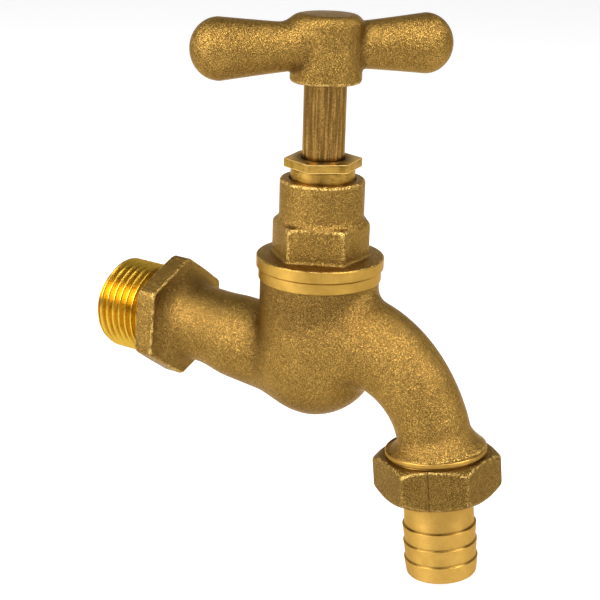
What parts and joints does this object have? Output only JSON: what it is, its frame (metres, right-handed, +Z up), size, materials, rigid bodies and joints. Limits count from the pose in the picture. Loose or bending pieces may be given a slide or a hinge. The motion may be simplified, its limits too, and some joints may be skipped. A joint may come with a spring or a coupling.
{
  "type": "hose bib",
  "caption": "Half-inch brass bib tap: threaded inlet, T-handle on a rising spindle, curved spout and a hose union with a barbed tail.",
  "frame": {"origin": "on the inlet axis, in the plane of the inlet hexagon's outer face", "axes": "+Z up along the spindle, -X out along the inlet thread, +X towards the spout"},
  "size_m": [0.0978, 0.0487, 0.1141],
  "materials": {
    "cast_brass": "sand-cast and tumbled, fine sparkling grain",
    "machined_brass": "turned, fine circular tool marks",
    "stem_brass": "extruded bar, faint lengthwise streaks",
    "fibre": "pressed red-brown fibre",
    "graphite_packing": "braided graphite packing",
    "rubber": "matt black moulded rubber"
  },
  "bodies": {
    "body": {"tap_body": "cast_brass", "bonnet": "cast_brass", "bonnet_gasket": "fibre", "gland_nut": "machined_brass", "gland_follower": "machined_brass", "packing_ring_upper": "graphite_packing", "packing_ring_lower": "graphite_packing", "packing_washer": "machined_brass"},
    "valve": {"jumper_valve": "machined_brass", "seat_washer": "rubber", "washer_nut": "machined_brass"},
    "spindle": {"spindle": "stem_brass", "t_handle": "cast_brass"},
    "tail": {"hose_tail": "machined_brass", "hose_tail_gasket": "rubber"},
    "nut": {"union_nut": "cast_brass"}
  },
  "joints": [
    {"name": "valve_lift", "type": "slide", "parent": "body", "child": "valve", "axis": [0, 0, 1], "range_m": [0, 0.005]},
    {"name": "spindle_turn", "type": "hinge", "parent": "valve", "child": "spindle", "pos_m": [0.0412, 0, 0.065], "axis": [0, 0, 1], "range_deg": [0, 720]},
    {"name": "tail_drop", "type": "slide", "parent": "body", "child": "tail", "axis": [0.1141, 0, -0.9935], "range_m": [0, 0.00453]},
    {"name": "union_nut_turn", "type": "hinge", "parent": "tail", "child": "nut", "pos_m": [0.07212, 0, -0.01978], "axis": [0.1141, 0, -0.9935], "range_deg": [0, 900]}
  ],
  "couplings": [
    {"joint": "spindle_turn", "follows": "valve_lift", "rad_per_m": 2513.3},
    {"joint": "union_nut_turn", "follows": "tail_drop", "rad_per_m": 3463.2}
  ]
}
